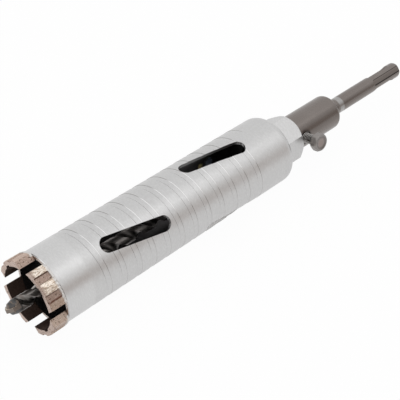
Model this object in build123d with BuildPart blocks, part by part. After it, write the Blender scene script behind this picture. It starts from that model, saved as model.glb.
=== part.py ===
from build123d import *
import math
import os

# Dry diamond core bit, with a hexagonal hub, a grooved hammer-drill adapter and a masonry pilot drill.
# X is the axis of rotation and points from the crown to the shank; Z is up.
# The origin is on the axis, halfway along the plain guide length of the shank.
# An angle given for a feature is measured about +X, from +Z, towards -Y.

# Lengths along the axis, from the cutting face of the crown to the end of the shank
segment_height = 9.4
barrel_length = 157.6
shoulder_length = 8.0
hexagon_length = 15.3
collar_length = 37.7
neck_length = 6.0
shank_length = 62.0

# Barrel
barrel_radius = 20.3
barrel_wall = 2.0
barrel_bevel = 0.4

# Crown segments: pressed blocks with parallel sides that stand proud of the tube inside and outside,
# with two water grooves outside and one inside, between them
segment_count = 4
first_segment = 45.0
segment_outer_overhang = 0.8
segment_inner_overhang = 0.7
segment_width = 21.4
segment_edge = 0.3
groove_angle = 13.75
groove_mouth = 4.5
groove_floor = 3.2
groove_depth = 0.85
foot_height = 1.3

# Slanted windows, in two rows of three
window_length = 42.7
window_width = 8.5
window_slant = 10.3
front_row_setback = 49.6
front_row_angles = (46.4, 166.4, 286.4)
rear_row_setback = 41.5
rear_row_angles = (6.5, 126.5, 231.5)

# Hub: rounded end of the barrel, spigot inside the tube, hexagon and threaded bore
shoulder_radius = 5.0
spigot_clearance = 0.05
spigot_length = 7.0
hexagon_flats = 26.0
hexagon_corner_angle = 59.5
hexagon_chamfer_length = 2.6
hexagon_chamfer_inset = 0.1
thread_radius = 8.0

# Adapter: threaded stub, collar, neck and grooved shank
thread_clearance = 0.05
stub_length = 21.0
stub_chamfer = 1.2
relief_width = 2.0
relief_depth = 1.2
collar_radius = 10.7
collar_round = 2.8
neck_radius = 5.2
neck_land = 4.5
shank_radius = 5.0
shank_round = 2.5
drill_clearance = 0.05
bore_floor = 14.0
drive_groove_angle = 50.3
drive_groove_length = 28.0
drive_groove_width = 4.0
drive_groove_depth = 1.6
ball_groove_length = 22.0
ball_groove_setback = 6.0
ball_radius = 4.0
ball_groove_depth = 2.4

# Pilot drill: round nose with the carbide plate brazed across it, twisted flutes, plain shank
drill_radius = 4.0
tip_reach = 12.5
tip_angle = 120.0
nose_stand_off = 0.6
nose_front_radius = 3.05
nose_taper = 2.7
nose_radius = 3.85
nose_length = 9.5
nose_slope = 2.5
land_radius = 3.8
land_half_angle = 40.0
land_cover = 1.0
land_start_angle = 77.8
flute_length = 130.5
flute_pitch = 27.0
web_half = 1.65
runout_length = 7.0
drill_end_gap = 1.0
drill_end_chamfer = 1.0
plate_angle = 59.5
plate_thickness = 2.2
plate_length = 6.6

# Clamp bolt, M6, through the collar on to a flat of the drill's shank
bolt_setback = 4.7
bolt_angle = 80.5
bolt_radius = 3.0
bolt_clearance = 0.05
bolt_reach = 7.6
bolt_tip_chamfer = 0.8
flat_depth = 0.6
flat_length = 12.0
spot_radius = 4.2
spot_depth = 0.5
head_height = 4.1
head_flats = 10.0
head_face_radius = 4.5
head_chamfer_height = 1.5
head_dish_radius = 3.8
head_dish_floor_radius = 2.4
head_dish_depth = 0.4

# Stations along the axis, counted from the cutting face
barrel_end = segment_height + barrel_length
shoulder_end = barrel_end + shoulder_length
hub_end = shoulder_end + hexagon_length
collar_end = hub_end + collar_length
neck_end = collar_end + neck_length
shank_end = neck_end + shank_length
spigot_start = barrel_end - spigot_length
stub_start = hub_end - stub_length
bore_end = collar_end - bore_floor
drill_end = bore_end - drill_end_gap
bolt_x = hub_end + bolt_setback
drive_groove_start = shank_end - drive_groove_length
ball_groove_end = shank_end - ball_groove_setback
ball_groove_start = ball_groove_end - ball_groove_length
crown_x = -(neck_end + drive_groove_start) / 2

# Radii that follow from the ones above
barrel_inner_radius = barrel_radius - barrel_wall
segment_outer_radius = barrel_radius + segment_outer_overhang
segment_inner_radius = barrel_inner_radius - segment_inner_overhang
hexagon_corner_radius = hexagon_flats / 2 / math.cos(math.pi / 6)
stub_radius = thread_radius - thread_clearance
bolt_seat = drill_radius - flat_depth
head_seat = collar_radius + bolt_reach


def station(x):
    """Frame X of an axial station counted from the cutting face."""
    return crown_x + x


def outward(angle):
    """Unit vector from the axis at an angle about +X, from +Z towards -Y."""
    turn = math.radians(angle)
    return Vector(0, -math.sin(turn), math.cos(turn))


def cross_plane(x, angle=0.0):
    """Plane square to the axis: local x runs outward at the angle, local y towards larger angles."""
    return Plane(origin=(station(x), 0, 0), x_dir=outward(angle), z_dir=(1, 0, 0))


def radial_plane(x, angle, radius=0.0):
    """Plane that faces outward at the angle, with local x along the axis."""
    return Plane(
        origin=Vector(station(x), 0, 0) + outward(angle) * radius,
        x_dir=(1, 0, 0),
        z_dir=outward(angle),
    )


def axial_plane(angle):
    """Plane that holds the axis: local x runs along it, local y outward at the angle."""
    return Plane(origin=(station(0), 0, 0), x_dir=(1, 0, 0), z_dir=outward(angle + 90))


profile_plane = axial_plane(0)
turning_axis = Axis(profile_plane.origin, profile_plane.x_dir)

# Barrel: a thin tube with three slanted windows in each of two rows
with BuildPart() as barrel_tube:
    with BuildSketch(cross_plane(segment_height)):
        Circle(barrel_radius)
        Circle(barrel_inner_radius, mode=Mode.SUBTRACT)
    extrude(amount=barrel_length)
    front_edges = barrel_tube.edges().filter_by(GeomType.CIRCLE).group_by(Axis.X)[0]
    chamfer(front_edges.sort_by(SortBy.RADIUS)[-1], barrel_bevel)
    window_rows = (
        (segment_height + front_row_setback, front_row_angles),
        (barrel_end - rear_row_setback, rear_row_angles),
    )
    for row_x, window_angles in window_rows:
        for window_angle in window_angles:
            with BuildSketch(radial_plane(row_x, window_angle)):
                SlotOverall(window_length, window_width, rotation=-window_slant)
            extrude(amount=2 * barrel_radius, mode=Mode.SUBTRACT)
barrel_tube.part.label = "barrel_tube"

# Rear hub: hexagon for the spanner with a turned chamfer, rounded shoulder, spigot and thread bore
with BuildPart() as rear_hub:
    with BuildSketch(cross_plane(shoulder_end, hexagon_corner_angle)):
        RegularPolygon(hexagon_corner_radius, 6)
    extrude(amount=hexagon_length)
    with BuildSketch(profile_plane):
        with BuildLine():
            Polyline(
                (shoulder_end, 0),
                (shoulder_end, hexagon_flats),
                (hub_end - hexagon_chamfer_length, hexagon_flats),
                (hub_end - hexagon_chamfer_length, hexagon_corner_radius),
                (hub_end, hexagon_flats / 2 - hexagon_chamfer_inset),
                (hub_end, 0),
                close=True,
            )
        make_face()
    revolve(axis=turning_axis, mode=Mode.INTERSECT)
    with BuildSketch(profile_plane):
        with BuildLine():
            Polyline(
                (shoulder_end - shoulder_radius, barrel_radius),
                (barrel_end, barrel_radius),
                (barrel_end, barrel_inner_radius - spigot_clearance),
                (spigot_start, barrel_inner_radius - spigot_clearance),
                (spigot_start, 0),
                (shoulder_end, 0),
                (shoulder_end, barrel_radius - shoulder_radius),
            )
            RadiusArc(
                (shoulder_end - shoulder_radius, barrel_radius),
                (shoulder_end, barrel_radius - shoulder_radius),
                shoulder_radius,
            )
        make_face()
    revolve(axis=turning_axis)
    with BuildSketch(cross_plane(spigot_start)):
        Circle(thread_radius)
    extrude(amount=hub_end - spigot_start, mode=Mode.SUBTRACT)
rear_hub.part.label = "rear_hub"


def crown_segment(angle):
    """One pressed segment: ring section with parallel sides, three water grooves and worn front edges."""
    with BuildPart() as segment:
        with BuildSketch(cross_plane(0, angle)):
            Circle(segment_outer_radius)
            Circle(segment_inner_radius, mode=Mode.SUBTRACT)
            with Locations((segment_outer_radius, 0)):
                Rectangle(segment_outer_radius, segment_width, mode=Mode.INTERSECT)
        extrude(amount=segment_height)
        for side in (-1, 1):
            with BuildSketch(cross_plane(0, angle + side * groove_angle)):
                with BuildLine():
                    Polyline(
                        (segment_outer_radius - groove_depth, -groove_floor / 2),
                        (segment_outer_radius + groove_depth, -groove_mouth + groove_floor / 2),
                        (segment_outer_radius + groove_depth, groove_mouth - groove_floor / 2),
                        (segment_outer_radius - groove_depth, groove_floor / 2),
                        close=True,
                    )
                make_face()
            extrude(amount=segment_height - foot_height, mode=Mode.SUBTRACT)
        with BuildSketch(cross_plane(0, angle)):
            with BuildLine():
                Polyline(
                    (segment_inner_radius + groove_depth, -groove_floor / 2),
                    (segment_inner_radius - groove_depth, -groove_mouth + groove_floor / 2),
                    (segment_inner_radius - groove_depth, groove_mouth - groove_floor / 2),
                    (segment_inner_radius + groove_depth, groove_floor / 2),
                    close=True,
                )
            make_face()
        extrude(amount=segment_height - foot_height, mode=Mode.SUBTRACT)
        front_arcs = segment.faces().sort_by(Axis.X)[0].edges().filter_by(GeomType.CIRCLE)
        chamfer(front_arcs.group_by(SortBy.RADIUS)[-1], segment_edge)
    return segment.part


crown_segments = []
for number in range(segment_count):
    segment_part = crown_segment(first_segment + number * 360 / segment_count)
    segment_part.label = f"crown_segment_{number + 1}"
    crown_segments.append(segment_part)

# Adapter: turned in one piece, stub for the hub's thread, collar, neck and shank
with BuildPart() as shank_adapter:
    with BuildSketch(profile_plane):
        with BuildLine():
            Polyline(
                (stub_start, 0),
                (stub_start, stub_radius - stub_chamfer),
                (stub_start + stub_chamfer, stub_radius),
                (hub_end - relief_width, stub_radius),
                (hub_end - relief_width, thread_radius - relief_depth),
                (hub_end, thread_radius - relief_depth),
                (hub_end, collar_radius),
                (collar_end - collar_round, collar_radius),
            )
            RadiusArc(
                (collar_end - collar_round, collar_radius),
                (collar_end, collar_radius - collar_round),
                collar_round,
            )
            Polyline(
                (collar_end, collar_radius - collar_round),
                (collar_end, neck_radius),
                (collar_end + neck_land, neck_radius),
                (neck_end, shank_radius),
                (shank_end - shank_round, shank_radius),
            )
            RadiusArc(
                (shank_end - shank_round, shank_radius),
                (shank_end, shank_radius - shank_round),
                shank_round,
            )
            Polyline(
                (shank_end, shank_radius - shank_round),
                (shank_end, 0),
                (stub_start, 0),
            )
        make_face()
    revolve(axis=turning_axis)
    # Blind bore for the drill's shank, and the bolt's tapped hole with its spot face
    with BuildSketch(cross_plane(stub_start)):
        Circle(drill_radius + drill_clearance)
    extrude(amount=bore_end - stub_start, mode=Mode.SUBTRACT)
    with BuildSketch(radial_plane(bolt_x, bolt_angle)):
        Circle(bolt_radius + bolt_clearance)
    extrude(amount=2 * collar_radius, mode=Mode.SUBTRACT)
    with BuildSketch(radial_plane(bolt_x, bolt_angle, collar_radius - spot_depth)):
        Circle(spot_radius)
    extrude(amount=collar_radius, mode=Mode.SUBTRACT)
    # Two drive grooves, open at the shank's end
    for turn in (0, 180):
        groove_plane = radial_plane(
            drive_groove_start, drive_groove_angle + turn, shank_radius - drive_groove_depth
        )
        with BuildSketch(groove_plane):
            with Locations((drive_groove_width / 2, 0)):
                Circle(drive_groove_width / 2)
            with Locations((drive_groove_width / 2 + drive_groove_length / 2, 0)):
                Rectangle(drive_groove_length, drive_groove_width)
        extrude(amount=shank_radius, mode=Mode.SUBTRACT)
    # Two closed grooves for the chuck's locking balls
    for turn in (90, 270):
        ball_height = shank_radius - ball_groove_depth + ball_radius
        ball_plane = axial_plane(drive_groove_angle + turn)
        with BuildSketch(ball_plane):
            with BuildLine():
                Line((ball_groove_start, ball_height), (ball_groove_end, ball_height))
                RadiusArc(
                    (ball_groove_end, ball_height),
                    (ball_groove_end - ball_radius, ball_height - ball_radius),
                    ball_radius,
                )
                Line(
                    (ball_groove_end - ball_radius, ball_height - ball_radius),
                    (ball_groove_start + ball_radius, ball_height - ball_radius),
                )
                RadiusArc(
                    (ball_groove_start + ball_radius, ball_height - ball_radius),
                    (ball_groove_start, ball_height),
                    ball_radius,
                )
            make_face()
        ball_line = Axis(ball_plane.from_local_coords((0, ball_height, 0)), ball_plane.x_dir)
        revolve(axis=ball_line, mode=Mode.SUBTRACT)
shank_adapter.part.label = "shank_adapter"

# Section of the fluted part: two lands joined by the web
with BuildSketch(Plane.XY) as fluted_section:
    land_x = land_radius * math.cos(math.radians(land_half_angle))
    land_y = land_radius * math.sin(math.radians(land_half_angle))
    with BuildLine():
        ThreePointArc((land_x, -land_y), (land_radius, 0), (land_x, land_y))
        ThreePointArc((land_x, land_y), (0, web_half), (-land_x, land_y))
        ThreePointArc((-land_x, land_y), (-land_radius, 0), (-land_x, -land_y))
        ThreePointArc((-land_x, -land_y), (0, -web_half), (land_x, -land_y))
    make_face()

# The section twists about the axis from inside the nose to the end of the flutes
nose_start = nose_stand_off - tip_reach
nose_end = nose_length - tip_reach
flute_start = nose_end - nose_slope - land_cover
flute_end = flute_length - tip_reach
section_plane = cross_plane(flute_start, land_start_angle)
twisted_body = Solid.extrude_linear_with_rotation(
    section_plane.location * fluted_section.sketch.faces()[0],
    section_plane.origin,
    Vector(flute_end - flute_start, 0, 0),
    360 * (flute_end - flute_start) / flute_pitch,
)

# Pilot drill: conical nose, two helical flutes, plain shank with a flat for the bolt, slot for the plate
cone_slope = math.tan(math.radians(tip_angle / 2))
nose_shoulder = nose_start + nose_front_radius / cone_slope
with BuildPart() as pilot_drill:
    add(twisted_body)
    with BuildSketch(profile_plane):
        with BuildLine():
            Polyline(
                (nose_start, 0),
                (nose_shoulder, nose_front_radius),
                (nose_shoulder + nose_taper, nose_radius),
                (nose_end - nose_slope, nose_radius),
                (nose_end, web_half),
                (nose_end, 0),
                close=True,
            )
        make_face()
    revolve(axis=turning_axis)
    with BuildSketch(profile_plane):
        with BuildLine():
            Polyline(
                (flute_end - runout_length, 0),
                (flute_end - runout_length, web_half),
                (flute_end, drill_radius),
                (drill_end - drill_end_chamfer, drill_radius),
                (drill_end, drill_radius - drill_end_chamfer),
                (drill_end, 0),
                close=True,
            )
        make_face()
    revolve(axis=turning_axis)
    with BuildSketch(radial_plane(bolt_x, bolt_angle, bolt_seat)):
        Rectangle(flat_length, 2 * drill_radius)
    extrude(amount=drill_radius, mode=Mode.SUBTRACT)
    with BuildSketch(axial_plane(plate_angle)):
        with Locations((plate_length / 2 - tip_reach, 0)):
            Rectangle(plate_length, 3 * drill_radius)
    extrude(amount=plate_thickness / 2, both=True, mode=Mode.SUBTRACT)
pilot_drill.part.label = "pilot_drill"

# Carbide plate: roof-shaped point, brazed across the nose
plate_shoulder = drill_radius / cone_slope - tip_reach
plate_end = plate_length - tip_reach
with BuildPart() as carbide_tip:
    with BuildSketch(axial_plane(plate_angle)):
        with BuildLine():
            Polyline(
                (-tip_reach, 0),
                (plate_shoulder, drill_radius),
                (plate_end, drill_radius),
                (plate_end, -drill_radius),
                (plate_shoulder, -drill_radius),
                close=True,
            )
        make_face()
    extrude(amount=plate_thickness / 2, both=True)
carbide_tip.part.label = "carbide_tip"

# Clamp bolt: hexagon head with a turned chamfer and a dished face, threaded length and chamfered tip
bolt_plane = cross_plane(bolt_x, bolt_angle)
head_top = head_seat + head_height
head_corner_radius = head_flats / 2 / math.cos(math.pi / 6)
with BuildPart() as clamp_bolt:
    with BuildSketch(radial_plane(bolt_x, bolt_angle, head_seat)):
        RegularPolygon(head_flats / 2, 6, major_radius=False)
    extrude(amount=head_height)
    with BuildSketch(bolt_plane):
        with BuildLine():
            Polyline(
                (head_top - head_dish_depth, 0),
                (head_seat, 0),
                (head_seat, head_flats),
                (head_top - head_chamfer_height, head_flats),
                (head_top - head_chamfer_height, head_corner_radius),
                (head_top, head_face_radius),
                (head_top, head_dish_radius),
                (head_top - head_dish_depth, head_dish_floor_radius),
                close=True,
            )
        make_face()
    revolve(axis=Axis(bolt_plane.origin, bolt_plane.x_dir), mode=Mode.INTERSECT)
    with BuildSketch(bolt_plane):
        with BuildLine():
            Polyline(
                (bolt_seat, 0),
                (bolt_seat, bolt_radius - bolt_tip_chamfer),
                (bolt_seat + bolt_tip_chamfer, bolt_radius),
                (head_seat, bolt_radius),
                (head_seat, 0),
                close=True,
            )
        make_face()
    revolve(axis=Axis(bolt_plane.origin, bolt_plane.x_dir))
clamp_bolt.part.label = "clamp_bolt"

os.makedirs("parts", exist_ok=True)
for segment_part in crown_segments:
    export_step(segment_part, f"parts/{segment_part.label}.step")
for finished in (barrel_tube, rear_hub, shank_adapter, pilot_drill, carbide_tip, clamp_bolt):
    export_step(finished.part, f"parts/{finished.part.label}.step")
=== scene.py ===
import math

import bmesh
import bpy
from mathutils import Matrix, Vector, noise


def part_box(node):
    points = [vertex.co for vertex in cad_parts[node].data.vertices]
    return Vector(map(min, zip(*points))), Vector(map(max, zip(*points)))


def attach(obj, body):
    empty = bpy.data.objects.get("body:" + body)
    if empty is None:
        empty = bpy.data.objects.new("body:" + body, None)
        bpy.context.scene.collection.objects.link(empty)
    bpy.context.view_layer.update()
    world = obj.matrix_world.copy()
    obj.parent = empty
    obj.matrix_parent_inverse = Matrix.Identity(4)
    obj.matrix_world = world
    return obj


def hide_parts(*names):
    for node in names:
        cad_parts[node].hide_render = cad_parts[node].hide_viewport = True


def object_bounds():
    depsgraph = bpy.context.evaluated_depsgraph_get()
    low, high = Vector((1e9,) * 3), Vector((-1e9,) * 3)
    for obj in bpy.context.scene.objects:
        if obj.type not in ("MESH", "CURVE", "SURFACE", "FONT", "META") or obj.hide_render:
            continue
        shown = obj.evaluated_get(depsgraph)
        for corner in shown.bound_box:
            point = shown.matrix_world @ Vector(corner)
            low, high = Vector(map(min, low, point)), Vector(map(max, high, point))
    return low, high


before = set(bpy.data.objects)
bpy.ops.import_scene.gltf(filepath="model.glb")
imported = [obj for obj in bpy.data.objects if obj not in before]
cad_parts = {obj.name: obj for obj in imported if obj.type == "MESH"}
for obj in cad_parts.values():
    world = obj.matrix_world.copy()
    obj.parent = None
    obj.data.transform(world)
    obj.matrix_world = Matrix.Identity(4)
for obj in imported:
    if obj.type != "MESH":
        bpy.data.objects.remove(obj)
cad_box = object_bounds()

# Diamond core bit: satin barrel with a spiral flute, sintered crown, dull adapter and dark pilot drill.
# The axis of rotation is X, the crown points to -X, and the bit lies on its barrel.
# An angle is measured about +X, from +Z, towards -Y, as in the part's own source.

MM = 0.001

# Sizes read from the frame
barrel_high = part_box("barrel_tube")[1]
crown_front = min(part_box(f"crown_segment_{number}")[0].x for number in range(1, 5))
floor_height = cad_box[0].z
BARREL_RADIUS = barrel_high.z

# Spiral flute rolled into the barrel; stations are counted from the cutting face of the crown
FLUTE_PITCH = 10.0 * MM
FLUTE_WIDTH = 3.4 * MM
FLUTE_DEPTH = 0.11 * MM
FLUTE_SLOPE = 0.20 * MM
FLUTE_FIRST = 27.0 * MM
FLUTE_LAST = 155.0 * MM
FLUTE_REAR_AT_TOP = 34.34 * MM
FLUTE_RUNOUT_ANGLE = 60.0

# Painted highlight and fainter lines on the barrel, and tinted spots on its inner wall; a spot has its X,
# its angle, its size and its colour
HIGHLIGHT_ANGLE = 25.0
FAINT_LINE_ANGLE = 135.0
TINTED_SPOTS = (
    (-108.2 * MM, -99.0, 4.0 * MM, (0.62, 0.68, 0.85, 1)),
    (-115.0 * MM, -98.0, 2.2 * MM, (1.0, 0.84, 0.42, 1)),
)
LOW_WINDOW_START = -150.0 * MM

# Crown segments and their sintered surface; starts and ends are counted from the cutting face
SEGMENT_RADIUS = 21.1 * MM
SEGMENT_INNER = 17.6 * MM
VOXEL_SIZE = 0.17 * MM
PIT_DEPTH = 0.07 * MM
INNER_PIT_DEPTH = 0.02 * MM
CHIP_DEPTH = 0.30 * MM
CHIP_REACH = 0.9 * MM
FOOT_START = 7.6 * MM
FOOT_RAMP = 0.6 * MM
FOOT_REACH = 1.0 * MM
FOOT_DEPTH = 0.28 * MM
SILVER_FOOT_START = 7.9 * MM
FRONT_FACE_END = 12.0 * MM

# Clamp bolt; its seat and its head's seat are distances from the axis of rotation,
# and the thread's crest is the flat share of half a pitch
BOLT_X = -56.0 * MM
BOLT_ANGLE = 80.5
BOLT_RADIUS = 3.0 * MM
BOLT_SEAT = 3.4 * MM
BOLT_TIP_CHAMFER = 0.8 * MM
HEAD_SEAT = 18.3 * MM
HEAD_HEIGHT = 4.1 * MM
HEAD_FLATS = 10.0 * MM
HEAD_ROUND = 5.6 * MM
THREAD_PITCH = 1.0 * MM
THREAD_DEPTH = 0.6 * MM
THREAD_CREST = 0.12

# Pilot drill; stations are counted from the cutting face of the crown
DRILL_RADIUS = 4.0 * MM
DRILL_END = 213.0 * MM
DRILL_END_CHAMFER = 1.0 * MM
LAND_RADIUS = 3.8 * MM
LAND_HALF_ANGLE = 40.0
LAND_CORNER = 0.06 * MM
LAND_START = -6.5 * MM
LAND_START_ANGLE = 77.8
DRILL_PITCH = 27.0 * MM
DRILL_ROW = 0.4 * MM
WEB_HALF = 1.65 * MM
RUNOUT_START = 111.0 * MM
RUNOUT_END = 118.0 * MM
NOSE = ((-11.9, 0.02), (-10.14, 3.05), (-7.44, 3.85), (-5.5, 3.85), (-3.0, 1.65), (-2.0, 0.5))
FLAT_START = 189.0 * MM
FLAT_END = 201.0 * MM

# Carbide plate and the slot it is brazed into
PLATE_ANGLE = 59.5
PLATE_HALF = 1.1 * MM
PLATE_END = -5.9 * MM
PLATE_FRONT = -12.5 * MM
PLATE_GAP = 0.01 * MM

# Adapter
SHANK_RADIUS = 5.0 * MM
DRIVE_GROOVE_ANGLE = 50.3
DRIVE_GROOVE_HALF = 2.0 * MM
DRIVE_GROOVE_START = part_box("shank_adapter")[1].x - 28.0 * MM
BRIGHT_RING = (-16.7 * MM, -12.9 * MM)
DARK_BAND_ANGLE = 60.0

# Camera, in metres and degrees
CAMERA_PLACE = (-0.42577, -0.30148, 0.32906)
CAMERA_TURN = (51.3792, 0.8561, -44.8162)
CAMERA_LENS = 87.434


def outward(angle):
    """Unit vector from the axis at an angle."""
    turn = math.radians(angle)
    return Vector((0.0, -math.sin(turn), math.cos(turn)))


def on_axis(x):
    """Point of the axis of rotation."""
    return Vector((x, 0.0, 0.0))


def radius_of(point):
    """Distance of a point from the axis of rotation."""
    return math.hypot(point.y, point.z)


def link(mesh, name):
    """New object of a mesh, linked to the scene."""
    piece = bpy.data.objects.new(name, mesh)
    bpy.context.scene.collection.objects.link(piece)
    return piece


def mesh_of(bm, name):
    """New mesh of a bmesh, which is freed."""
    mesh = bpy.data.meshes.new(name)
    bm.to_mesh(mesh)
    bm.free()
    return mesh


def copy_of(node, name):
    """New object with a welded copy of a CAD node's mesh."""
    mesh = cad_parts[node].data.copy()
    mesh.name = name
    bm = bmesh.new()
    bm.from_mesh(mesh)
    bmesh.ops.remove_doubles(bm, verts=bm.verts, dist=0.002 * MM)
    bm.to_mesh(mesh)
    bm.free()
    mesh.materials.clear()
    return link(mesh, name)


def skin(name, rings):
    """Mesh of a closed skin over rings of points, with a face at both ends."""
    bm = bmesh.new()
    rings = [[bm.verts.new(point) for point in ring] for ring in rings]
    for ring, after in zip(rings, rings[1:]):
        for step in range(len(ring)):
            other = (step + 1) % len(ring)
            bm.faces.new((ring[step], ring[other], after[other], after[step]))
    bm.faces.new(reversed(rings[0]))
    bm.faces.new(rings[-1])
    bmesh.ops.recalc_face_normals(bm, faces=bm.faces)
    return mesh_of(bm, name)


def applied(piece):
    """Replaces a piece's mesh with what its modifiers make of it."""
    graph = bpy.context.evaluated_depsgraph_get()
    made = bpy.data.meshes.new_from_object(piece.evaluated_get(graph), depsgraph=graph)
    made.name = piece.name
    piece.modifiers.clear()
    piece.data = made


def cut_away(piece, cutter):
    """Cuts a piece with an object that is removed afterwards."""
    cut = piece.modifiers.new("cut", "BOOLEAN")
    cut.operation = "DIFFERENCE"
    cut.solver = "EXACT"
    cut.object = cutter
    applied(piece)
    bpy.data.objects.remove(cutter)


def shade_smooth(mesh):
    """Smooth shading on every face."""
    for polygon in mesh.polygons:
        polygon.use_smooth = True


# Materials


class Nodes:
    """Short names for building a procedural material."""

    def __init__(self, name):
        self.material = bpy.data.materials.new(name)
        self.material.use_nodes = True
        self.tree = self.material.node_tree
        self.shader = self.tree.nodes["Principled BSDF"]
        self.place = self.node("ShaderNodeTexCoord").outputs["Object"]
        axes = self.node("ShaderNodeSeparateXYZ")
        self.tree.links.new(self.place, axes.inputs[0])
        self.x, self.y, self.z = axes.outputs

    def node(self, kind):
        return self.tree.nodes.new(kind)

    def join(self, value, socket):
        """Links an output to a socket, or sets the socket to a number or colour."""
        if isinstance(value, bpy.types.NodeSocket):
            self.tree.links.new(value, socket)
        else:
            socket.default_value = value

    def math(self, operation, first, second=0.0, third=0.0):
        n = self.node("ShaderNodeMath")
        n.operation = operation
        for value, socket in zip((first, second, third), n.inputs):
            self.join(value, socket)
        return n.outputs[0]

    def times(self, first, *others):
        """Product of two or more numbers."""
        for other in others:
            first = self.math("MULTIPLY", first, other)
        return first

    def vector(self, operation, first, second=None):
        """Vector, or number, that an operation on one or two vectors gives."""
        n = self.node("ShaderNodeVectorMath")
        n.operation = operation
        self.join(first, n.inputs[0])
        if second is not None:
            self.join(second, n.inputs[1])
        gives_number = operation in ("DOT_PRODUCT", "DISTANCE", "LENGTH")
        return n.outputs["Value" if gives_number else "Vector"]

    def step(self, value, low, high):
        """0 at low, 1 at high, and a smooth ramp between them; low may be above high."""
        n = self.node("ShaderNodeMapRange")
        n.interpolation_type = "SMOOTHSTEP"
        self.join(value, n.inputs["Value"])
        n.inputs["From Min"].default_value = low
        n.inputs["From Max"].default_value = high
        return n.outputs[0]

    def span(self, value, low, high):
        """A number from 0 to 1, mapped to run from low to high."""
        n = self.node("ShaderNodeMapRange")
        self.join(value, n.inputs["Value"])
        n.inputs["To Min"].default_value = low
        n.inputs["To Max"].default_value = high
        return n.outputs[0]

    def mix(self, share, first, second):
        n = self.node("ShaderNodeMix")
        n.data_type = "RGBA"
        self.join(share, n.inputs["Factor"])
        self.join(first, n.inputs["A"])
        self.join(second, n.inputs["B"])
        return n.outputs["Result"]

    def normal(self):
        return self.node("ShaderNodeNewGeometry").outputs["Normal"]

    def facing(self):
        """Share of the surface's normal along the axis of rotation."""
        axes = self.node("ShaderNodeSeparateXYZ")
        self.tree.links.new(self.normal(), axes.inputs[0])
        return axes.outputs[0]

    def normal_share(self, y, z):
        """Share of the surface's normal along a way across the axis of rotation."""
        way = self.node("ShaderNodeCombineXYZ")
        self.join(y, way.inputs[1])
        self.join(z, way.inputs[2])
        return self.vector("DOT_PRODUCT", self.normal(), self.vector("NORMALIZE", way.outputs[0]))

    def outwardness(self):
        """Share of the surface's normal that points away from the axis of rotation."""
        return self.normal_share(self.y, self.z)

    def tangent_share(self):
        """Share of the surface's normal towards larger angles about the axis of rotation."""
        return self.normal_share(self.times(self.z, -1.0), self.y)

    def radius(self):
        """Distance from the axis of rotation."""
        squares = self.math("ADD", self.times(self.y, self.y), self.times(self.z, self.z))
        return self.math("SQRT", squares)

    def towards(self, angle):
        """Cosine of how far the place is turned from an angle about the axis of rotation."""
        along = self.vector("DOT_PRODUCT", self.place, tuple(outward(angle)))
        return self.math("DIVIDE", along, self.radius())

    def off_bolt(self):
        """Distance from the middle line of the clamp bolt."""
        away = self.vector("SUBTRACT", self.place, tuple(on_axis(BOLT_X)))
        return self.vector("LENGTH", self.vector("CROSS_PRODUCT", away, tuple(outward(BOLT_ANGLE))))

    def scaled(self, along, across):
        """The place, scaled along the axis and across it."""
        n = self.node("ShaderNodeMapping")
        self.join(self.place, n.inputs["Vector"])
        n.inputs["Scale"].default_value = (along, across, across)
        return n.outputs[0]

    def noise(self, scale, detail=3.0, rough=0.5, at=None):
        """Noise from 0 to 1, with a scale in waves a metre."""
        n = self.node("ShaderNodeTexNoise")
        self.join(at or self.place, n.inputs["Vector"])
        n.inputs["Scale"].default_value = scale
        n.inputs["Detail"].default_value = detail
        n.inputs["Roughness"].default_value = rough
        return n.outputs["Fac"]

    def cells(self, scale):
        """Distance to the nearest of scattered points, with a scale in cells a metre."""
        n = self.node("ShaderNodeTexVoronoi")
        self.join(self.place, n.inputs["Vector"])
        n.inputs["Scale"].default_value = scale
        return n.outputs["Distance"]

    def bump(self, height, depth, strength):
        """Normal of a height from 0 to 1, at a depth in metres."""
        n = self.node("ShaderNodeBump")
        n.inputs["Strength"].default_value = strength
        n.inputs["Distance"].default_value = depth
        self.join(height, n.inputs["Height"])
        return n.outputs[0]

    def finish(self, color, metallic, roughness, normal):
        self.join(color, self.shader.inputs["Base Color"])
        self.join(metallic, self.shader.inputs["Metallic"])
        self.join(roughness, self.shader.inputs["Roughness"])
        self.join(normal, self.shader.inputs["Normal"])
        return self.material


def plated_look(m):
    """Colour, roughness and turned lines of satin plated steel."""
    turned = m.noise(1.0, 4.0, 0.6, at=m.scaled(2600.0, 26.0))
    broad = m.noise(1.0, 2.0, 0.5, at=m.scaled(240.0, 12.0))
    grain = m.noise(1.0, 2.0, 0.6, at=m.scaled(1500.0, 600.0))
    smudge = m.noise(38.0, 3.0, 0.55)
    color = m.mix(smudge, (0.60, 0.597, 0.595, 1), (0.66, 0.657, 0.655, 1))
    color = m.mix(m.span(turned, 0.0, 0.30), color, (0.47, 0.47, 0.47, 1))
    color = m.mix(m.times(m.step(grain, 0.55, 0.35), 0.16), color, (0.45, 0.44, 0.435, 1))
    color = m.mix(m.times(m.step(grain, 0.50, 0.68), 0.16), color, (0.80, 0.80, 0.80, 1))
    roughness = m.math("ADD", m.span(smudge, 0.36, 0.44), m.span(broad, -0.02, 0.04))
    return color, roughness, turned


def hub_finish():
    """Plated steel, with painted shade where the hub stands inside the barrel."""
    m = Nodes("hub_finish")
    color, roughness, turned = plated_look(m)
    # Painted shade, near black, on the part of the hub that stands inside the barrel
    within = m.step(m.x, barrel_high.x - 0.2 * MM, barrel_high.x - 0.6 * MM)
    color = m.mix(within, color, (0.03, 0.03, 0.03, 1))
    return m.finish(color, 1.0, roughness, m.bump(turned, 0.020 * MM, 0.8))


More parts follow.
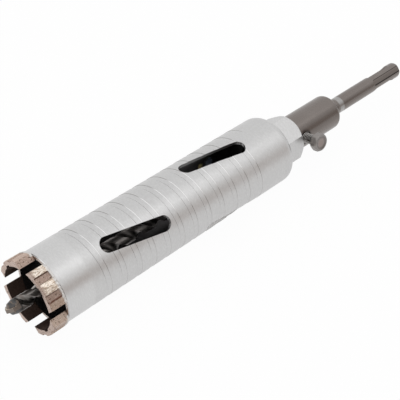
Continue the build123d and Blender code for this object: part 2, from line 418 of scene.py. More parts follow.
def barrel_finish(inner_radius):
    """Plated steel with painted shade and a painted highlight along the flute's edges; darker on cut walls,
    with a painted highlight on their rear ends and painted light on the lowest window's walls; painted shade
    on the inner wall.
    """
    m = Nodes("barrel_finish")
    color, roughness, turned = plated_look(m)
    radius = m.radius()
    facing = m.facing()

    # The plain band behind the crown is a little smoother and lighter
    plain = m.step(m.x, crown_front + FLUTE_FIRST, crown_front + FLUTE_FIRST - 1.5 * MM)
    color = m.mix(m.times(plain, 0.12), color, (0.80, 0.80, 0.80, 1))
    roughness = m.math("SUBTRACT", roughness, m.times(plain, 0.06))

    # Cut walls of the windows, darker grey, with a painted highlight, streaked by the turned lines, on their
    # rear ends, which face the crown
    below = m.step(radius, BARREL_RADIUS - 0.2 * MM, BARREL_RADIUS - 0.3 * MM)
    cut = m.times(m.step(m.outwardness(), 0.5, 0.3), below)
    rear_end = m.times(m.step(facing, -0.3, -0.8), m.step(turned, 0.40, 0.55))
    wall = m.mix(m.times(rear_end, 0.7), (0.36, 0.355, 0.355, 1), (0.80, 0.80, 0.80, 1))
    color = m.mix(cut, color, wall)

    # Front face between the segments: tan, with silver specks
    in_front = m.step(m.x, crown_front + FRONT_FACE_END, crown_front + FRONT_FACE_END - 1.0 * MM)
    front_face = m.times(m.step(facing, -0.7, -0.9), in_front)
    specks = m.step(m.noise(1800.0, 3.0, 0.7), 0.50, 0.60)
    speckled = m.mix(specks, (0.36, 0.27, 0.22, 1), (0.80, 0.78, 0.75, 1))
    color = m.mix(front_face, color, speckled)

    # Lines along the flute's two edges: painted shade, darkest on the walls that face the shank and fainter
    # on the lower far side, and a painted highlight on the walls that face the crown near the top
    sunk = m.step(radius, BARREL_RADIUS - 0.004 * MM, BARREL_RADIUS - 0.02 * MM)
    near = m.step(radius, BARREL_RADIUS - 0.30 * MM, BARREL_RADIUS - 0.20 * MM)
    faint_side = m.step(m.towards(FAINT_LINE_ANGLE), 0.30, 0.75)
    edge = m.times(sunk, near, m.math("SUBTRACT", 1.0, m.times(faint_side, 0.7)))
    wear_and_highlight = m.step(m.towards(HIGHLIGHT_ANGLE), 0.86, 0.96)
    rear_facing = m.times(edge, m.step(facing, 0.12, 0.30))
    crown_facing = m.times(edge, m.step(facing, -0.12, -0.30))
    color = m.mix(rear_facing, color, (0.13, 0.12, 0.115, 1))
    color = m.mix(crown_facing, color, m.mix(wear_and_highlight, (0.27, 0.26, 0.25, 1), (0.95, 0.95, 0.95, 1)))

    # Inner wall: painted shade, near black, with its tinted spots
    inside = m.step(radius, inner_radius + 0.14 * MM, inner_radius + 0.06 * MM)
    color = m.mix(inside, color, (0.11, 0.105, 0.105, 1))
    for x, angle, size, tint in TINTED_SPOTS:
        spot = on_axis(x) + outward(angle) * inner_radius
        away = m.vector("DISTANCE", m.place, tuple(spot))
        away = m.math("ADD", away, m.span(m.noise(500.0, 3.0, 0.6), -1.0 * MM, 1.0 * MM))
        color = m.mix(m.step(away, size, 0.4 * size), color, tint)

    # Painted light on the cut walls of the lowest window: white and not metallic, standing in for the
    # floor's light
    low = m.times(
        m.step(m.z, -4.0 * MM, -8.0 * MM),
        m.step(m.y, -8.0 * MM, -12.0 * MM),
        m.step(m.x, LOW_WINDOW_START, LOW_WINDOW_START + 2.0 * MM),
        m.step(radius, BARREL_RADIUS - 0.02 * MM, BARREL_RADIUS - 0.06 * MM),
        m.step(m.math("ABSOLUTE", m.math("SUBTRACT", cut, inside)), 0.5, 0.9),
    )
    color = m.mix(low, color, (0.98, 0.98, 0.98, 1))
    metallic = m.math("SUBTRACT", 1.0, low)
    return m.finish(color, metallic, roughness, m.bump(turned, 0.020 * MM, 0.8))


def adapter_finish():
    """Dull grey-brown hardened steel with faint mottling and a soft painted reflection of a dark band along
    its side.
    """
    m = Nodes("adapter_finish")
    mottle = m.noise(420.0, 5.0, 0.65)
    cloud = m.noise(60.0, 2.0, 0.5)
    turned = m.noise(1.0, 3.0, 0.6, at=m.scaled(3200.0, 40.0))
    color = m.mix(cloud, (0.214, 0.187, 0.173, 1), (0.250, 0.223, 0.208, 1))
    color = m.mix(m.span(mottle, 0.0, 0.45), color, (0.17, 0.15, 0.14, 1))

    # Ring rubbed bright behind the neck
    start, end = BRIGHT_RING
    after_start = m.step(m.x, start - 0.5 * MM, start + 0.5 * MM)
    ring = m.times(after_start, m.step(m.x, end + 0.5 * MM, end - 0.5 * MM))
    color = m.mix(m.times(ring, 0.7), color, (0.46, 0.455, 0.45, 1))

    # Painted reflection: a soft dark band along the side, deepening the darker room band that the steel
    # reflects
    dark_band = m.step(m.towards(DARK_BAND_ANGLE), 0.86, 0.99)
    color = m.mix(m.times(dark_band, 0.22), color, (0.03, 0.022, 0.018, 1))

    # Painted shade on the walls of the drive groove, which has a round front end
    aside = m.vector("DOT_PRODUCT", m.place, tuple(outward(DRIVE_GROOVE_ANGLE + 90)))
    before = m.math("SUBTRACT", DRIVE_GROOVE_START + DRIVE_GROOVE_HALF, m.x)
    before = m.math("MAXIMUM", before, 0.0)
    off_middle = m.math("SQRT", m.math("ADD", m.times(aside, aside), m.times(before, before)))
    by_wall = m.times(
        m.step(off_middle, DRIVE_GROOVE_HALF - 0.9 * MM, DRIVE_GROOVE_HALF - 0.1 * MM),
        m.step(off_middle, DRIVE_GROOVE_HALF + 0.15 * MM, DRIVE_GROOVE_HALF + 0.05 * MM),
    )
    sunk = m.times(
        m.step(m.radius(), SHANK_RADIUS - 0.03 * MM, SHANK_RADIUS - 0.25 * MM),
        m.step(m.x, DRIVE_GROOVE_START - 0.6 * MM, DRIVE_GROOVE_START - 0.2 * MM),
    )
    color = m.mix(m.times(by_wall, sunk), color, (0.03, 0.026, 0.024, 1))

    # Painted shade round the bolt, under its head
    bolt_shade = m.math("ADD", m.off_bolt(), m.span(mottle, -1.0 * MM, 1.0 * MM))
    bolt_shade = m.times(m.step(bolt_shade, 5.6 * MM, 3.6 * MM), 0.85)
    color = m.mix(bolt_shade, color, (0.04, 0.036, 0.034, 1))

    roughness = m.math("SUBTRACT", m.span(mottle, 0.22, 0.30), m.times(ring, 0.04))
    normal = m.bump(m.math("ADD", turned, mottle), 0.012 * MM, 0.6)
    return m.finish(color, 1.0, roughness, normal)


def segment_finish():
    """Sintered bronze with diamond grit: scuffed lands that are partly painted light, brown grooves and
    sides with painted shade and painted light on their walls, painted shade inside, silver foot.
    """
    m = Nodes("segment_finish")
    radius = m.radius()
    out = m.outwardness()
    sideways = m.tangent_share()
    grit = m.cells(1500.0)
    fine = m.noise(2600.0, 3.0, 0.7)
    patch = m.noise(700.0, 4.0, 0.6)
    holes = m.noise(900.0, 3.0, 0.55)
    wear_and_highlight = m.noise(1.0, 3.0, 0.6, at=m.scaled(500.0, 1500.0))
    land = m.step(radius, SEGMENT_RADIUS - 0.55 * MM, SEGMENT_RADIUS - 0.18 * MM)
    land = m.times(land, m.step(out, 0.80, 0.95))

    # Angle within the quarter turn that holds a segment, in radians
    turn = m.math("ARCTAN2", m.times(m.y, -1.0), m.z)
    in_segment = m.math("WRAP", turn, math.pi / 2, 0.0)
    last_land = m.step(in_segment, 0.98, 1.04)

    # Brown parts: grooves, their walls, the last land, the far side and the front faces
    brown = m.mix(patch, (0.30, 0.21, 0.17, 1), (0.46, 0.34, 0.285, 1))
    # Painted shade on the walls that face down on the near side and painted light on those that face up; the
    # last land's upward wall is darker red, and the last land browner
    brown = m.mix(m.step(sideways, 0.25, 0.6), brown, (0.15, 0.095, 0.07, 1))
    brown = m.mix(m.times(m.step(sideways, -0.2, -0.6), 0.6), brown, (0.56, 0.45, 0.37, 1))
    last_wall = m.times(m.step(sideways, -0.12, -0.4), last_land)
    brown = m.mix(last_wall, brown, (0.17, 0.085, 0.06, 1))
    brown = m.mix(m.times(land, last_land, 0.45), brown, (0.47, 0.36, 0.27, 1))
    far_side = m.step(m.y, -2.0 * MM, 2.0 * MM)
    brown = m.mix(m.times(far_side, 0.6), brown, (0.68, 0.52, 0.44, 1))
    front_face = m.step(m.facing(), -0.6, -0.9)
    brown = m.mix(m.times(front_face, 0.8), brown, (0.58, 0.46, 0.40, 1))

    # Rubbed metal on the lands, less of it near the cutting face; partly painted light, as only the upper
    # lands of each segment and the upper segments get the bright metal, while the last land and the low
    # segments stay brown
    metal = m.mix(m.step(wear_and_highlight, 0.36, 0.60), (0.50, 0.39, 0.30, 1), (0.94, 0.85, 0.75, 1))
    behind_face = m.math("ADD", m.x, m.span(patch, -2.0 * MM, 2.0 * MM))
    behind_face = m.step(behind_face, crown_front + 0.2 * MM, crown_front + 2.2 * MM)
    worn_and_lit = m.step(m.math("ADD", in_segment, m.span(patch, -0.10, 0.10)), 1.20, 0.95)
    worn_and_lit = m.times(worn_and_lit, m.span(behind_face, 0.25, 1.0), m.step(m.z, -10.0 * MM, 0.0))
    color = m.mix(m.times(land, worn_and_lit), brown, metal)
    land = m.times(land, m.span(worn_and_lit, 0.3, 1.0))

    # Dark specks, open holes and pale grit
    color = m.mix(m.step(fine, 0.57, 0.68), color, (0.14, 0.10, 0.075, 1))
    holes = m.times(m.step(holes, 0.59, 0.65), m.span(m.times(land, behind_face), 0.9, 0.4))
    color = m.mix(holes, color, (0.09, 0.055, 0.035, 1))
    color = m.mix(m.step(grit, 0.24, 0.12), color, (0.80, 0.71, 0.62, 1))

    # Silver foot, and painted shade on the inner faces
    ragged = m.math("ADD", m.x, m.span(patch, -0.9 * MM, 0.9 * MM))
    silver_start = crown_front + SILVER_FOOT_START
    foot = m.step(ragged, silver_start, silver_start + 0.4 * MM)
    foot = m.times(foot, m.step(radius, SEGMENT_RADIUS - 1.6 * MM, SEGMENT_RADIUS - 1.2 * MM))
    color = m.mix(foot, color, (0.66, 0.64, 0.62, 1))
    deep_inside = m.step(radius, SEGMENT_INNER + 1.5 * MM, SEGMENT_INNER + 1.2 * MM)
    inner = m.times(m.step(out, -0.25, -0.6), deep_inside)
    color = m.mix(inner, color, (0.055, 0.033, 0.025, 1))

    metallic = m.times(m.span(m.math("MAXIMUM", land, foot), 0.75, 1.0), m.span(inner, 1.0, 0.4))
    roughness = m.math("SUBTRACT", m.span(patch, 0.38, 0.52), m.times(land, 0.10))
    normal = m.bump(m.math("ADD", fine, grit), 0.06 * MM, 0.8)
    return m.finish(color, metallic, roughness, normal)


def drill_finish():
    """Dark steam-tempered nose, and ground flutes with painted shade at the web and deep in the barrel."""
    m = Nodes("drill_finish")
    ground = m.noise(1.0, 3.0, 0.6, at=m.scaled(900.0, 300.0))
    cloud = m.noise(180.0, 3.0, 0.55)
    steel = m.mix(cloud, (0.04, 0.04, 0.04, 1), (0.16, 0.155, 0.155, 1))
    steel = m.mix(m.step(ground, 0.50, 0.64), steel, (0.19, 0.155, 0.13, 1))
    flutes = m.step(m.x, crown_front - 5.5 * MM, crown_front - 3.0 * MM)
    steel = m.mix(flutes, steel, m.mix(ground, (0.40, 0.37, 0.35, 1), (0.60, 0.565, 0.54, 1)))
    # Painted shade in the hollows of the flutes, at the web
    web = m.step(m.radius(), 3.6 * MM, 2.2 * MM)
    steel = m.mix(m.times(flutes, web, 0.8), steel, (0.09, 0.085, 0.08, 1))
    # Painted shade on the drill deep inside the barrel
    deep = m.step(m.x, crown_front + 10.0 * MM, crown_front + 25.0 * MM)
    steel = m.mix(m.times(deep, 0.35), steel, (0.04, 0.036, 0.034, 1))
    roughness = m.math("ADD", m.span(ground, 0.32, 0.38), m.times(deep, 0.14))
    return m.finish(steel, 1.0, roughness, m.bump(ground, 0.012 * MM, 0.3))


def carbide_finish():
    """Ground grey carbide, with bronze braze along one seam."""
    m = Nodes("carbide_finish")
    fine = m.noise(1400.0, 3.0, 0.6)
    blot = m.noise(600.0, 3.0, 0.6)
    color = m.mix(fine, (0.17, 0.145, 0.125, 1), (0.30, 0.26, 0.235, 1))
    off_middle = m.vector("DOT_PRODUCT", m.place, tuple(outward(PLATE_ANGLE - 90)))
    seam = m.step(off_middle, PLATE_HALF - 0.4 * MM, PLATE_HALF - 0.1 * MM)
    color = m.mix(m.times(seam, m.step(blot, 0.49, 0.62)), color, (0.66, 0.55, 0.42, 1))
    return m.finish(color, 1.0, m.span(fine, 0.32, 0.46), m.bump(fine, 0.02 * MM, 0.7))


def bolt_finish():
    """Dull plated steel with mottling; painted shade on the head's dish wall, and a thread with lighter
    crests, partly scuffed and partly a painted highlight, and painted shade in its roots.
    """
    m = Nodes("bolt_finish")
    mottle = m.noise(700.0, 5.0, 0.65)
    color = m.mix(mottle, (0.22, 0.205, 0.195, 1), (0.36, 0.335, 0.32, 1))
    from_foot = m.vector("SUBTRACT", m.place, tuple(on_axis(BOLT_X)))
    reach = m.vector("DOT_PRODUCT", from_foot, tuple(outward(BOLT_ANGLE)))
    distance = m.off_bolt()

    # Wall and floor of the head's dish, and the rim round it
    face_height = HEAD_SEAT + HEAD_HEIGHT
    face = m.step(reach, face_height - 1.0 * MM, face_height - 0.9 * MM)
    wall = m.times(m.step(distance, 4.2 * MM, 3.8 * MM), m.step(distance, 2.0 * MM, 3.2 * MM))
    floor = m.step(distance, 3.4 * MM, 1.6 * MM)
    rim = m.times(m.step(distance, 4.05 * MM, 4.2 * MM), m.step(distance, 5.1 * MM, 4.9 * MM))
    mottled = m.mix(mottle, (0.20, 0.165, 0.15, 1), (0.38, 0.32, 0.30, 1))
    # Painted shade on the dish wall
    color = m.mix(m.times(face, wall), color, (0.21, 0.19, 0.18, 1))
    color = m.mix(m.times(face, floor), color, mottled)
    color = m.mix(m.times(face, rim), color, (0.27, 0.255, 0.245, 1))

    # Thread: lighter crests, partly scuffed and partly a painted highlight, and painted shade in the roots
    crest = m.step(distance, BOLT_RADIUS - 0.8 * THREAD_DEPTH, BOLT_RADIUS - 0.1 * THREAD_DEPTH)
    thread = m.mix(crest, (0.03, 0.028, 0.026, 1), (0.42, 0.405, 0.39, 1))
    on_rod = m.times(
        m.step(distance, BOLT_RADIUS + 0.3 * MM, BOLT_RADIUS + 0.1 * MM),
        m.step(reach, HEAD_SEAT, HEAD_SEAT - 0.1 * MM),
    )
    color = m.mix(on_rod, color, thread)
    return m.finish(color, 1.0, m.span(mottle, 0.30, 0.46), m.bump(mottle, 0.03 * MM, 0.8))


# Barrel with its spiral flute


def flute_cutter():
    """Closed helical ribbon that stands where the flute is cut, tapering out at both ends."""
    steps_per_turn = 96
    above = 0.6 * MM
    spread = FLUTE_SLOPE * above / FLUTE_DEPTH
    first = (FLUTE_FIRST - FLUTE_REAR_AT_TOP) / FLUTE_PITCH * 360
    last = (FLUTE_LAST - FLUTE_REAR_AT_TOP) / FLUTE_PITCH * 360
    steps = round((last - first) / 360 * steps_per_turn)
    rings = []
    for number in range(steps + 1):
        angle = first + (last - first) * number / steps
        near_end = min(angle - first, last - angle)
        depth = FLUTE_DEPTH * min(1.0, near_end / FLUTE_RUNOUT_ANGLE) + 0.01 * MM
        rear = crown_front + FLUTE_REAR_AT_TOP + FLUTE_PITCH * angle / 360
        front = rear - FLUTE_WIDTH
        section = (
            (front - spread, BARREL_RADIUS + above),
            (front + FLUTE_SLOPE, BARREL_RADIUS - depth),
            (rear - FLUTE_SLOPE, BARREL_RADIUS - depth),
            (rear + spread, BARREL_RADIUS + above),
        )
        rings.append([on_axis(x) + outward(angle) * radius for x, radius in section])
    return link(skin("flute_cutter", rings), "flute_cutter")


def shade_barrel(mesh, inner_radius):
    """Sets exact normals on the round faces, so that long cut faces still look turned."""
    slack = 0.07 * MM
    least_radius = BARREL_RADIUS - FLUTE_DEPTH - slack
    for vertex in mesh.vertices:
        radius = radius_of(vertex.co)
        for wall in (BARREL_RADIUS, inner_radius):
            if abs(radius - wall) < slack:
                vertex.co.y *= wall / radius
                vertex.co.z *= wall / radius
    shade_smooth(mesh)
    normals = []
    for polygon in mesh.polygons:
        middle = polygon.center
        facing = polygon.normal.dot(Vector((0, middle.y, middle.z)).normalized())
        for index in polygon.vertices:
            corner = mesh.vertices[index].co
            radial = Vector((0, corner.y, corner.z)).normalized()
            if facing > 0.99 and radius_of(middle) > least_radius:
                normals.append(radial)
            elif facing < -0.99:
                normals.append(-radial)
            else:
                normals.append(polygon.normal.copy())
    mesh.normals_split_custom_set(normals)


def make_barrel():
    """The CAD tube with the spiral flute cut into it."""
    barrel = copy_of("barrel_tube", "barrel_spiral")
    inner_radius = min(radius_of(vertex.co) for vertex in barrel.data.vertices)
    cut_away(barrel, flute_cutter())
    shade_barrel(barrel.data, inner_radius)
    barrel.data.materials.append(barrel_finish(inner_radius))
    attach(barrel, "root")
    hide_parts("barrel_tube")


# Crown segments


def make_segment(number, material):
    """A CAD segment remeshed finely, with the pits, chipped front and ragged foot of sintered metal."""
    node = f"crown_segment_{number}"
    piece = copy_of(node, f"{node}_sintered")
    remesh = piece.modifiers.new("remesh", "REMESH")
    remesh.mode = "VOXEL"
    remesh.voxel_size = VOXEL_SIZE
    applied(piece)
    mesh = piece.data
    low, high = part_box(node)
    seed = Vector((number * 3.7, number * 1.3, 0.0))
    moved = []
    for vertex in mesh.vertices:
        at = vertex.co / MM
        radius = radius_of(vertex.co)
        from_front = vertex.co.x - crown_front
        under_face = SEGMENT_RADIUS - radius
        pits = noise.noise(at * 0.9 + seed) + 0.6 * noise.noise(at * 2.1 + seed)
        pit_depth = INNER_PIT_DEPTH if radius < SEGMENT_INNER + 0.3 * MM else PIT_DEPTH
        sunk = pit_depth * max(0.0, pits)
        front_edge = max(0.0, 1.0 - math.hypot(from_front, under_face) / CHIP_REACH)
        sunk += CHIP_DEPTH * front_edge * max(0.0, noise.noise(at * 1.3 + seed * 2))
        foot = max(0.0, min(1.0, (from_front - FOOT_START) / FOOT_RAMP))
        foot *= max(0.0, 1.0 - under_face / FOOT_REACH)
        sunk += FOOT_DEPTH * foot * max(0.0, 0.35 + noise.noise(at * 0.8 + seed * 3))
        moved.append(vertex.co - vertex.normal * sunk)
    for vertex, place in zip(mesh.vertices, moved):
        vertex.co = [min(max(place[axis], low[axis]), high[axis]) for axis in range(3)]
    shade_smooth(mesh)
    mesh.materials.append(material)
    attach(piece, "root")
    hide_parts(node)


# Clamp bolt with its thread


def thread_rod():
    """Closed rod with a helical V thread, along local Z from the tip to the head."""
    around = 40
    rows_per_pitch = 10
    length = HEAD_SEAT + 0.4 * MM - BOLT_SEAT
    rows = round(length / THREAD_PITCH * rows_per_pitch)
    rings = []
    for row in range(rows + 1):
        height = length * row / rows
        ring = []
        for step in range(around):
            turn = step / around
            phase = (height / THREAD_PITCH - turn) % 1.0
            wave = abs(2 * phase - 1)
            groove = min(1.0, max(0.0, (wave - THREAD_CREST) / (1.0 - 2 * THREAD_CREST)))
            radius = BOLT_RADIUS - THREAD_DEPTH * groove
            radius = min(radius, BOLT_RADIUS - BOLT_TIP_CHAMFER + height)
            angle = math.tau * turn
            ring.append((radius * math.cos(angle), radius * math.sin(angle), height))
        rings.append(ring)
    return skin("thread", rings)


def head_radius(turn, round_radius):
    """Radius of the hexagon head at an angle in radians, cut by a round one."""
    from_flat = turn % (math.pi / 3) - math.pi / 6
    return min(HEAD_FLATS / 2 / math.cos(from_flat), round_radius)


def bolt_head():
    """Closed hexagon head along local Z, with turned chamfers and a shallow dished face."""
    around = 96
    rows = (
        (0.0, HEAD_ROUND - 0.25 * MM),
        (0.2 * MM, HEAD_ROUND),
        (HEAD_HEIGHT - 1.3 * MM, HEAD_ROUND),
        (HEAD_HEIGHT - 0.8 * MM, 5.3 * MM),
        (HEAD_HEIGHT - 0.35 * MM, 5.0 * MM),
        (HEAD_HEIGHT - 0.08 * MM, 4.8 * MM),
        (HEAD_HEIGHT, 4.6 * MM),
        (HEAD_HEIGHT, 4.15 * MM),
        (HEAD_HEIGHT - 0.05 * MM, 4.0 * MM),
        (HEAD_HEIGHT - 0.24 * MM, 3.6 * MM),
        (HEAD_HEIGHT - 0.42 * MM, 3.0 * MM),
        (HEAD_HEIGHT - 0.52 * MM, 2.2 * MM),
        (HEAD_HEIGHT - 0.54 * MM, 1.0 * MM),
    )
    rings = []
    for height, round_radius in rows:
        ring = []
        for step in range(around):
            turn = math.tau * step / around
            radius = head_radius(turn, round_radius)
            ring.append((radius * math.cos(turn), radius * math.sin(turn), height))
        rings.append(ring)
    return skin("head", rings)


def make_bolt():
    """Hexagon head on a rod with a real thread."""
    out = outward(BOLT_ANGLE)
    turned = out.to_track_quat("Z", "Y").to_matrix().to_4x4()
    bm = bmesh.new()
    for part, base in ((thread_rod(), BOLT_SEAT), (bolt_head(), HEAD_SEAT)):
        part.transform(Matrix.Translation(on_axis(BOLT_X) + out * base) @ turned)
        bm.from_mesh(part)
        bpy.data.meshes.remove(part)
    bmesh.ops.recalc_face_normals(bm, faces=bm.faces)
    mesh = mesh_of(bm, "clamp_bolt_threaded")
    piece = link(mesh, "clamp_bolt_threaded")
    shade_smooth(mesh)
    mesh.set_sharp_from_angle(angle=math.radians(32))
    mesh.materials.append(bolt_finish())
    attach(piece, "root")
    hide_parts("clamp_bolt")


# Pilot drill with smooth flutes


def between(points, x):
    """Height at x of a line through points."""
    if x <= points[0][0]:
        return points[0][1]
    for (x0, y0), (x1, y1) in zip(points, points[1:]):
        if x <= x1:
            return y0 + (y1 - y0) * (x - x0) / (x1 - x0)
    return points[-1][1]


def round_radius_at(x):
    """Radius of the drill's nose, web, run-out, shank and end chamfer, without the lands."""
    if x > DRILL_END - DRILL_END_CHAMFER:
        return DRILL_RADIUS - (x - DRILL_END + DRILL_END_CHAMFER)
    if x > RUNOUT_START:
        share = min(1.0, (x - RUNOUT_START) / (RUNOUT_END - RUNOUT_START))
        return WEB_HALF + (DRILL_RADIUS - WEB_HALF) * share
    return between(NOSE, x / MM) * MM


def flute_radius(from_land):
    """Radius of the fluted section at an angle in degrees from the middle of the nearer land."""
    land_x = LAND_RADIUS * math.cos(math.radians(LAND_HALF_ANGLE))
    land_y = LAND_RADIUS * math.sin(math.radians(LAND_HALF_ANGLE))
    hollow = (land_x ** 2 + (land_y - WEB_HALF) ** 2) / (2 * (land_y - WEB_HALF))
    centre = WEB_HALF + hollow
    rise = centre * math.sin(math.radians(abs(from_land)))
    inside = rise ** 2 - (centre ** 2 - hollow ** 2)
    if inside <= 0:
        return LAND_RADIUS
    wall = rise - math.sqrt(inside)
    return -LAND_CORNER * math.log(math.exp(-wall / LAND_CORNER) + math.exp(-LAND_RADIUS / LAND_CORNER))


def plate_slot():
    """Block that stands where the carbide plate is brazed in."""
    wide = outward(PLATE_ANGLE) * (DRILL_RADIUS + 2.0 * MM)
    thick = outward(PLATE_ANGLE + 90) * (PLATE_HALF + PLATE_GAP)
    rings = [
        [on_axis(crown_front + x) + wide * w + thick * t for w, t in ((-1, -1), (1, -1), (1, 1), (-1, 1))]
        for x in (PLATE_FRONT - 1.0 * MM, PLATE_END + PLATE_GAP)
    ]
    return link(skin("plate_slot", rings), "plate_slot")


def make_drill():
    """The drill as one smooth skin: nose, flutes, run-out and plain shank, with the slot for the plate."""
    quarter = (0, 12, 22, 29, 34, 37, 38.5, 39.5, 40.3, 41.2, 42.5, 44, 46, 49, 53, 58, 64, 71, 80)
    spread = [*quarter, 90, *(180 - angle for angle in reversed(quarter[1:]))]
    spread += [180 + angle for angle in spread]
    nose = (-11.9, -11.6, -11.2, -10.8, -10.4, -10.14, -9.9, -9.3, -8.4, -7.6, -7.44, -7.2, -6.8)
    stations = [x * MM for x in nose]
    rows = round((RUNOUT_END - LAND_START) / DRILL_ROW)
    stations += [LAND_START + DRILL_ROW * row for row in range(rows)]
    stations += [RUNOUT_END, FLAT_START - 0.01 * MM, FLAT_START, FLAT_END, FLAT_END + 0.01 * MM]
    stations += [DRILL_END - DRILL_END_CHAMFER, DRILL_END]
    bolt_out = outward(BOLT_ANGLE)
    rings = []
    for x in stations:
        twisted = min(max(x, LAND_START), RUNOUT_END)
        turn = LAND_START_ANGLE + 360 * (twisted - LAND_START) / DRILL_PITCH
        least = round_radius_at(x)
        ring = []
        for angle in spread:
            radius = least
            if LAND_START <= x < RUNOUT_END:
                from_land = (angle + 90) % 180 - 90
                radius = max(least, flute_radius(from_land))
            corner = outward(turn + angle) * radius
            over = corner.dot(bolt_out) - BOLT_SEAT
            if FLAT_START <= x <= FLAT_END and over > 0:
                corner -= bolt_out * over
            ring.append(on_axis(crown_front + x) + corner)
        rings.append(ring)
    piece = link(skin("pilot_drill_twisted", rings), "pilot_drill_twisted")
    cut_away(piece, plate_slot())
    mesh = piece.data
    shade_smooth(mesh)
    mesh.set_sharp_from_angle(angle=math.radians(38))
    mesh.materials.append(drill_finish())
    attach(piece, "root")
    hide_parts("pilot_drill")


def dress(node, material):
    """Gives a CAD node that keeps its shape a finished material."""
    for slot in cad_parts[node].material_slots:
        slot.material = material


make_barrel()
bronze = segment_finish()
for number in range(1, 5):
    make_segment(number, bronze)
make_bolt()
make_drill()
dress("rear_hub", hub_finish())
dress("shank_adapter", adapter_finish())
dress("carbide_tip", carbide_finish())

# Floor, light and camera


def white_where_seen(tree, shader, share, mirrored_share):
    """Mixes a shader with plain white for rays from the camera, and with less of it for mirrored ones."""
    path = tree.nodes.new("ShaderNodeLightPath")
    either = tree.nodes.new("ShaderNodeMath")
    either.operation = "MAXIMUM"
    tree.links.new(path.outputs["Is Glossy Ray"], either.inputs[0])
    tree.links.new(path.outputs["Is Transmission Ray"], either.inputs[1])
    mirrored = tree.nodes.new("ShaderNodeMath")
    mirrored.operation = "MULTIPLY"
    mirrored.inputs[1].default_value = mirrored_share
    tree.links.new(either.outputs[0], mirrored.inputs[0])
    part = tree.nodes.new("ShaderNodeMath")
    part.operation = "MULTIPLY_ADD"
    part.inputs[1].default_value = share
    tree.links.new(path.outputs["Is Camera Ray"], part.inputs[0])
    tree.links.new(mirrored.outputs[0], part.inputs[2])
    white = tree.nodes.new("ShaderNodeEmission")
    white.inputs["Color"].default_value = (1, 1, 1, 1)
    mix = tree.nodes.new("ShaderNodeMixShader")
    tree.links.new(part.outputs[0], mix.inputs[0])
    tree.links.new(shader, mix.inputs[1])
    tree.links.new(white.outputs[0], mix.inputs[2])
    return mix.outputs[0]


def make_floor():
    """Pale table under the barrel, which keeps the shadow."""
    half = 1.6
    bm = bmesh.new()
    corners = ((-half, -half), (half, -half), (half, half), (-half, half))
    bm.faces.new([bm.verts.new((x, y, floor_height)) for x, y in corners])
    floor = link(mesh_of(bm, "floor"), "floor")
    material = bpy.data.materials.new("floor_white")
    material.use_nodes = True
    tree = material.node_tree
    shader = tree.nodes["Principled BSDF"]
    shader.inputs["Base Color"].default_value = (0.86, 0.86, 0.86, 1)
    shader.inputs["Roughness"].default_value = 0.9
    surface = white_where_seen(tree, shader.outputs[0], 0.96, 0.80)
    tree.links.new(surface, tree.nodes["Material Output"].inputs["Surface"])
    floor.data.materials.append(material)


def smooth_ramp(tree, value, low, high):
    """0 at low, 1 at high, and a smooth ramp between them."""
    ramp = tree.nodes.new("ShaderNodeMapRange")
    ramp.interpolation_type = "SMOOTHSTEP"
    ramp.inputs["From Min"].default_value = low
    ramp.inputs["From Max"].default_value = high
    tree.links.new(value, ramp.inputs["Value"])
    return ramp.outputs[0]


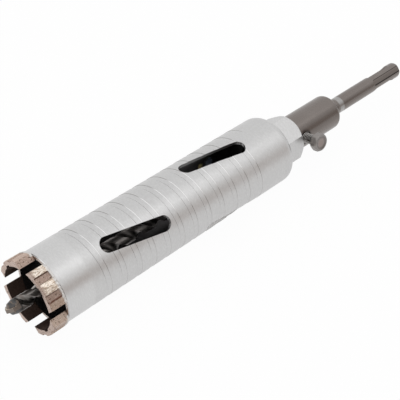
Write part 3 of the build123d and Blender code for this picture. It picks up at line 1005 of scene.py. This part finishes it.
def make_world():
    """Pale studio: bright overhead, with a darker band of room above the table's edge on the near side."""
    world = bpy.data.worlds.new("studio")
    bpy.context.scene.world = world
    world.use_nodes = True
    tree = world.node_tree
    place = tree.nodes.new("ShaderNodeTexCoord")
    axes = tree.nodes.new("ShaderNodeSeparateXYZ")
    tree.links.new(place.outputs["Generated"], axes.inputs[0])
    bands = (
        (0.00, (0.78, 0.78, 0.78, 1)),
        (0.49, (0.78, 0.77, 0.76, 1)),
        (0.52, (0.51, 0.44, 0.40, 1)),
        (0.64, (0.55, 0.49, 0.455, 1)),
        (0.74, (0.94, 0.94, 0.94, 1)),
        (1.00, (1.00, 1.00, 1.00, 1)),
    )
    banded = tree.nodes.new("ShaderNodeValToRGB")
    stops = banded.color_ramp.elements
    while len(stops) < len(bands):
        stops.new(0.5)
    for stop, (position, color) in zip(stops, bands):
        stop.position = position
        stop.color = color
    rise = tree.nodes.new("ShaderNodeMapRange")
    rise.inputs["From Min"].default_value = -1.0
    tree.links.new(axes.outputs[2], rise.inputs["Value"])
    tree.links.new(rise.outputs[0], banded.inputs[0])
    beyond = tree.nodes.new("ShaderNodeMath")
    beyond.operation = "MAXIMUM"
    tree.links.new(smooth_ramp(tree, axes.outputs[1], 0.1, 0.6), beyond.inputs[0])
    tree.links.new(smooth_ramp(tree, axes.outputs[0], 0.66, 0.84), beyond.inputs[1])
    room = tree.nodes.new("ShaderNodeMix")
    room.data_type = "RGBA"
    room.inputs["B"].default_value = (0.93, 0.93, 0.93, 1)
    tree.links.new(beyond.outputs[0], room.inputs["Factor"])
    tree.links.new(banded.outputs[0], room.inputs["A"])
    path = tree.nodes.new("ShaderNodeLightPath")
    seen = tree.nodes.new("ShaderNodeMix")
    seen.data_type = "RGBA"
    seen.inputs["B"].default_value = (1, 1, 1, 1)
    tree.links.new(path.outputs["Is Camera Ray"], seen.inputs["Factor"])
    tree.links.new(room.outputs["Result"], seen.inputs["A"])
    tree.links.new(seen.outputs["Result"], tree.nodes["Background"].inputs["Color"])


def make_lamp(name, direction, distance, size, watts):
    """Soft square lamp that faces the middle of the object from a direction."""
    data = bpy.data.lights.new(name, "AREA")
    data.size = size
    data.energy = watts
    lamp = bpy.data.objects.new(name, data)
    middle = (cad_box[0] + cad_box[1]) / 2
    way = Vector(direction).normalized()
    lamp.location = middle + way * distance
    lamp.rotation_euler = way.to_track_quat("Z", "Y").to_euler()
    bpy.context.scene.collection.objects.link(lamp)


def make_camera():
    """Camera fitted to the photograph."""
    data = bpy.data.cameras.new("camera")
    data.lens = CAMERA_LENS
    data.clip_start = 0.01
    camera = bpy.data.objects.new("camera", data)
    camera.location = CAMERA_PLACE
    camera.rotation_euler = [math.radians(turn) for turn in CAMERA_TURN]
    bpy.context.scene.collection.objects.link(camera)
    bpy.context.scene.camera = camera


make_floor()
make_world()
make_lamp("key", (0.39, -0.39, 0.74), 0.85, 0.4, 0.26)
make_camera()
bpy.context.scene.view_settings.view_transform = "Standard"
